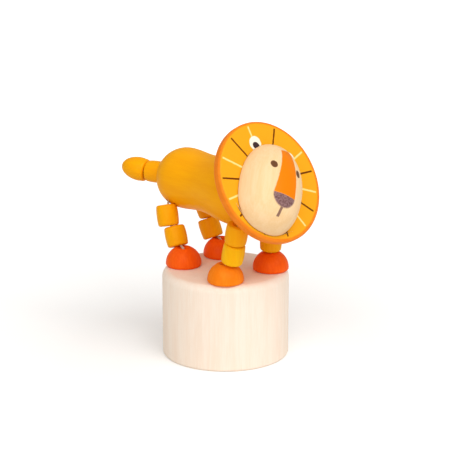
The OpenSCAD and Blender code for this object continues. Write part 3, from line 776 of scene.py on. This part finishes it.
# Feet and legs
for leg in LEGS:
    stand = Matrix.Translation((feet[leg].x, feet[leg].y, drum_top))
    stain = orange_foot if leg == "front_right" else red_foot
    piece(leg + "_foot_turned", placed(foot_ball(), stand), stain, "red_lacquer", "base", leg + "_foot")
    for part, stance in zip(("lower", "upper"), STANCE[leg]):
        node = f"{leg}_{part}_leg"
        axis = bead_axis(*stance)
        barrel = bead(BEAD_D, bead_length(node), HOLE_D, BEAD_MOUTH)
        barrel = placed(barrel, pointing(bead_ends(node, axis)[0], axis))
        stain = yellow_bead if node == "front_right_lower_leg" else amber_bead
        piece(node + "_turned", barrel, stain, "amber_lacquer", f"{leg}_{part}", node)

# Body: turned peanut, cut off parallel to the mane and drilled for the cords
dome = [-DOME_X - DOME_R * math.cos(math.radians(90 * i / 16)) for i in range(16)]
trunk = [-DOME_X + (CHEST_X + DOME_X) * i / 24 for i in range(25)]
taper = [CHEST_X + CHEST_TAPER * math.sin(math.radians(90 * i / 16)) for i in range(1, 17)]
body = turned([(body_r(x), x) for x in dome + trunk + taper], steps=128)
# It hangs slightly tail down, about a point in its rear half
BODY_PITCH, PITCH_X = math.radians(1), -16 * MM
pitch = Matrix.Translation((PITCH_X, 0, axis_z)) @ Matrix.Rotation(-BODY_PITCH, 4, "Y")
lying = pitch @ Matrix.Translation((-PITCH_X, 0, 0)) @ Matrix.Rotation(math.pi / 2, 4, "Y")
body = sliced(placed(body, lying), head_origin + mane_out * (mane_back - NECK_GAP), mane_out, False)
bore_ends = [Vector((x, 0, axis_z)) for x in (-2 * DOME_X, 2 * DOME_X)]
body_holes = [(bore_ends[0], bore_ends[1], BORE_D / 2)]
for leg in LEGS:
    axis = bead_axis(*STANCE[leg][1])
    top = bead_ends(leg + "_upper_leg", axis)[1]
    hip = Vector((top.x, 0, axis_z))
    out = Vector((0, top.y, top.z - axis_z)).normalized()
    body_holes.append((hip + out * BORE_D / 4, hip + out * 2 * CHEST_R, HOLE_D / 2))
    # A shallow seat in the belly, in which the upper bead's end lies
    body_holes.append((top - axis * BEAD_L, top + axis * SEAT_PLAY, BEAD_D / 2 + SEAT_PLAY))
for hole in body_holes:
    body = drilled(body, [hole])
piece("body_turned", body, amber_body, "amber_lacquer", "torso", "body")

# Head: disc with a rounded rim, and half an egg on it
mane = turned(
    [(0, mane_back)]
    + arc((MANE_R - MANE_ROUND, mane_back + MANE_ROUND), MANE_ROUND, -90, 0)
    + arc((MANE_R - MANE_ROUND, 0), MANE_ROUND, 0, 90)
    + [(0, MANE_ROUND)],
    steps=160,
)
# The cord goes through the mane into a pocket in the face
NECK_HOLE_D, POCKET_D, POCKET_DEPTH = 4 * MM, 5.2 * MM, 6 * MM
neck_hole = (neck_point - mane_out * MM, neck_point + mane_out * (MANE_T + MM), NECK_HOLE_D / 2)
pocket = (neck_point + mane_out * MM, neck_point + mane_out * (MANE_T + POCKET_DEPTH), POCKET_D / 2)
mane = drilled(placed(mane, head_place), [neck_hole])
piece("mane_turned", mane, mane_wood, "orange_lacquer", "head", "mane")

# The jaw is fuller than an ellipse
jaw_power = 2 / JAW_FULLNESS
quarter = [math.radians(a) for a in range(0, 91, 3)]
egg_lower = [(EGG_R * math.sin(a) ** jaw_power, -EGG_DOWN * math.cos(a) ** jaw_power) for a in quarter[:-1]]
egg_upper = [(EGG_R * math.cos(a), EGG_UP * math.sin(a)) for a in quarter]
egg_turn = Matrix.Rotation(EGG_ROLL, 4, "Z") @ Matrix.Rotation(-math.pi / 2, 4, "X")
egg_place = Matrix.Translation((-EGG_SIDE, -EGG_LOW, MANE_ROUND - EGG_SLICE)) @ egg_turn
egg = placed(turned(egg_lower + egg_upper, steps=128), egg_place)
egg = sliced(egg, (0, 0, MANE_ROUND), (0, 0, 1), True)
# Its edge is eased, which leaves a fine crease round the face; painted shade on the face darkens it further
FACE_EASE = 0.6 * MM
rim = [e for e in egg.edges if all(abs(v.co.z - MANE_ROUND) < 0.001 * MM for v in e.verts)]
bmesh.ops.bevel(egg, geom=rim, offset=FACE_EASE, offset_type="OFFSET", affect="EDGES", segments=3,
                profile=0.5, material=-1)
egg = drilled(placed(egg, head_place), [pocket])
piece("face_turned", egg, face_wood, "face_wood", "head", "face")

# Tail
root = placed(bead(TAIL_ROOT_D, TAIL_ROOT_L, TAIL_HOLE_D, TAIL_MOUTH), pointing(tail_start, tail_out))
piece("tail_root_turned", root, amber_tail, "amber_lacquer", "tail_root", "tail_root")
tip_r, tip_end_r, tip_hole_r = TAIL_TIP_D / 2, TAIL_TIP_D / 2 - BEAD_BULGE, TAIL_HOLE_D / 2
flank = [
    (tip_end_r + (tip_r - tip_end_r) * ease(t), BEAD_ROUND + (TAIL_TIP_WIDE_AT - BEAD_ROUND) * t)
    for t in (i / 8 for i in range(1, 9))
]
nose_l = TAIL_TIP_L - TAIL_TIP_WIDE_AT
tip_nose = [
    (tip_r * math.cos(math.radians(a)), TAIL_TIP_WIDE_AT + nose_l * math.sin(math.radians(a)))
    for a in range(5, 91, 5)
]
tip = turned(
    [(0, TAIL_HOLE_DEPTH), (tip_hole_r, TAIL_HOLE_DEPTH)]
    + [(tip_hole_r, TAIL_MOUTH), (tip_hole_r + TAIL_MOUTH, 0)]
    + arc((tip_end_r - BEAD_ROUND, BEAD_ROUND), BEAD_ROUND, -90, 0) + flank + tip_nose
)
tip = placed(tip, pointing(tail_joint + tail_out * TIP_PLAY, tip_out))
piece("tail_tip_turned", tip, amber_tail, "amber_lacquer", "tail_tip", "tail_tip")

# Return spring: a coil with a closed turn at each end
WIRE_R, COIL_R, COIL_TURNS, CLOSED_TURNS, COIL_STEPS = 0.5 * MM, 11 * MM, 6.5, 0.9, 36
spring_low, spring_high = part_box("return_spring")[0][2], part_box("return_spring")[1][2]
closed_pitch = 2 * WIRE_R
open_rise = spring_high - spring_low - 2 * WIRE_R - 2 * CLOSED_TURNS * closed_pitch
coil = []
for i in range(round(COIL_TURNS * COIL_STEPS) + 1):
    turns = i / COIL_STEPS
    open_share = min(max((turns - CLOSED_TURNS) / (COIL_TURNS - 2 * CLOSED_TURNS), 0), 1)
    closed_low = min(turns, CLOSED_TURNS)
    closed_high = CLOSED_TURNS - min(COIL_TURNS - turns, CLOSED_TURNS)
    height = spring_low + WIRE_R + (closed_low + closed_high) * closed_pitch + open_rise * open_share
    coil.append(Vector((COIL_R * math.cos(math.tau * turns), COIL_R * math.sin(math.tau * turns), height)))
spring = wires("return_spring_coil", [coil], WIRE_R, steel, "spring_steel", "return_spring")
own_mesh(spring)
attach(spring, "base")


# Table, light and background of the studio

floor_mesh = bmesh.new()
bmesh.ops.create_grid(floor_mesh, x_segments=1, y_segments=1, size=6)
table_mesh = bpy.data.meshes.new("table")
floor_mesh.to_mesh(table_mesh)
floor_mesh.free()
table = bpy.data.objects.new("table", table_mesh)
scene.collection.objects.link(table)
paper, tree = new_tree("white_paper")
# The sheet is lifted to white where it is seen, straight or in a reflection, more so far from the puppet
ray = add(tree, "ShaderNodeLightPath").outputs
seen = ray["Is Camera Ray"]
for kind in ("Is Glossy Ray", "Is Transmission Ray"):
    seen = add(tree, "ShaderNodeMath", {0: seen, 1: ray[kind]}, operation="MAXIMUM").outputs[0]
matt = add(tree, "ShaderNodeBsdfDiffuse", {"Color": srgb("#F1EFEC")})
place = add(tree, "ShaderNodeTexCoord").outputs["Object"]
away = add(tree, "ShaderNodeVectorMath", {0: place}, operation="LENGTH").outputs["Value"]
far = add(tree, "ShaderNodeMapRange", {
    "Value": away, "From Min": 0.06, "From Max": 0.4, "To Min": 0.2, "To Max": 0.7,
}).outputs[0]
lift = add(tree, "ShaderNodeEmission", {"Color": (1, 1, 1, 1), "Strength": far})
lifted = add(tree, "ShaderNodeAddShader", {0: matt.outputs[0], 1: lift.outputs[0]})
sheet = add(tree, "ShaderNodeMixShader", {0: seen, 1: matt.outputs[0], 2: lifted.outputs[0]})
add(tree, "ShaderNodeOutputMaterial", {"Surface": sheet.outputs[0]})
table_mesh.materials.append(paper)

room = bpy.data.worlds.new("studio")
scene.world = room
room.use_nodes = True
room.node_tree.nodes.clear()
air = add(room.node_tree, "ShaderNodeBackground", {"Color": (1, 1, 1, 1), "Strength": 0.45})
add(room.node_tree, "ShaderNodeOutputWorld", {"Surface": air.outputs[0]})


def softbox(name, turn, rise, distance, size, power):
    """Square lamp aimed at the puppet, its turn and rise given in degrees as the camera's are."""
    a, b = math.radians(turn), math.radians(rise)
    towards = Vector((math.sin(a) * math.cos(b), -math.cos(a) * math.cos(b), math.sin(b)))
    lamp = bpy.data.lights.new(name, "AREA")
    lamp.size = size
    lamp.energy = power
    holder = bpy.data.objects.new(name, lamp)
    holder.location = LOOK_AT + towards * distance
    holder.rotation_euler = towards.to_track_quat("Z", "Y").to_euler()
    scene.collection.objects.link(holder)


softbox("key", turn=88, rise=50, distance=0.9, size=0.7, power=4.8)
softbox("fill", turn=30, rise=35, distance=1.1, size=0.9, power=4.0)

scene.view_settings.view_transform = "Standard"
